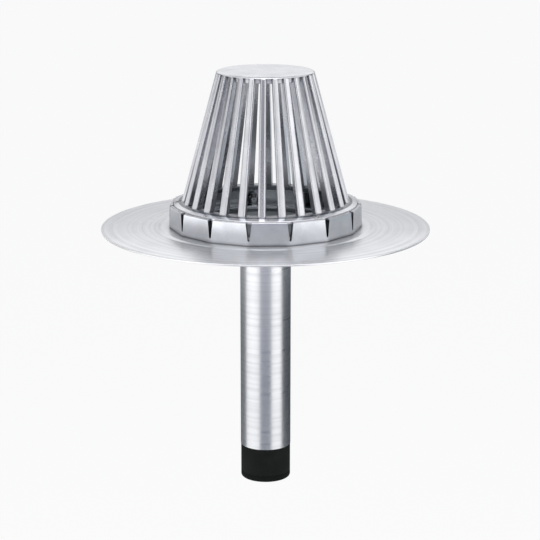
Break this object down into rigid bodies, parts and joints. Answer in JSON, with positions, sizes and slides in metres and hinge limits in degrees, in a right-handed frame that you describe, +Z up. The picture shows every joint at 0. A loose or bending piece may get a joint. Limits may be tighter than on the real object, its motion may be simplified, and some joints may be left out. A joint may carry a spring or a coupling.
{
  "type": "flat roof drain",
  "caption": "Retrofit roof drain: flat round flange, shallow sump and long stem, with a slotted clamping ring, a ribbed strainer dome and a screw-tightened seal at the stem's end.",
  "frame": {"origin": "on the drain's axis, in the plane of the flange's underside, which is the roof deck", "axes": "+Z up along the drain's axis, out of the roof; -Y is the side seen from the front"},
  "size_m": [0.4444, 0.4444, 0.5682],
  "materials": {
    "spun_aluminium": "satin, spun, fine turning lines",
    "cast_ring": "cast and linished, satin",
    "cast_dome": "cast and tumbled, satin",
    "machined_aluminium": "turned",
    "seal_rubber": "matte black",
    "black_nylon": "moulded, matte black",
    "stainless_screws": "cold headed, bright",
    "weld_studs": "rolled thread, bright",
    "stainless_washers": "stamped, tumbled",
    "stainless_nuts": "cold formed, bright"
  },
  "bodies": {
    "drain": {"drain_body": "spun_aluminium", "clamping_ring": "cast_ring", "strainer_dome": "cast_dome", "seal_seat": "machined_aluminium", "seal_sleeve": "seal_rubber", "clamp_stud_1": "weld_studs", "clamp_stud_2": "weld_studs", "clamp_stud_3": "weld_studs", "clamp_stud_4": "weld_studs", "clamp_stud_5": "weld_studs", "clamp_stud_6": "weld_studs", "clamp_washer_1": "stainless_washers", "clamp_washer_2": "stainless_washers", "clamp_washer_3": "stainless_washers", "clamp_washer_4": "stainless_washers", "clamp_washer_5": "stainless_washers", "clamp_washer_6": "stainless_washers", "clamp_nut_1": "stainless_nuts", "clamp_nut_2": "stainless_nuts", "clamp_nut_3": "stainless_nuts", "clamp_nut_4": "stainless_nuts", "clamp_nut_5": "stainless_nuts", "clamp_nut_6": "stainless_nuts", "dome_screw_1": "stainless_screws", "dome_screw_2": "stainless_screws", "dome_screw_3": "stainless_screws"},
    "compression_ring": {"compression_ring": "black_nylon"},
    "seal_screw_1": {"seal_screw_1": "stainless_screws"},
    "seal_screw_2": {"seal_screw_2": "stainless_screws"},
    "seal_screw_3": {"seal_screw_3": "stainless_screws"}
  },
  "joints": [
    {"name": "seal_screw_1_turn", "type": "hinge", "parent": "drain", "child": "seal_screw_1", "pos_m": [0, -0.02732, -0.2984], "axis": [0, 0, -1], "range_deg": [0, 2041]},
    {"name": "seal_screw_2_turn", "type": "hinge", "parent": "drain", "child": "seal_screw_2", "pos_m": [0.02366, 0.01366, -0.2984], "axis": [0, 0, -1], "range_deg": [0, 2041]},
    {"name": "seal_screw_3_turn", "type": "hinge", "parent": "drain", "child": "seal_screw_3", "pos_m": [-0.02366, 0.01366, -0.2984], "axis": [0, 0, -1], "range_deg": [0, 2041]},
    {"name": "seal_squeeze", "type": "slide", "parent": "drain", "child": "compression_ring", "axis": [0, 0, 1], "range_m": [0, 0.006], "deforming": ["seal_sleeve"]}
  ],
  "couplings": [
    {"joint": "seal_screw_2_turn", "follows": "seal_screw_1_turn", "ratio": 1},
    {"joint": "seal_screw_3_turn", "follows": "seal_screw_1_turn", "ratio": 1},
    {"joint": "seal_squeeze", "follows": "seal_screw_1_turn", "m_per_rad": 0.00016843}
  ]
}
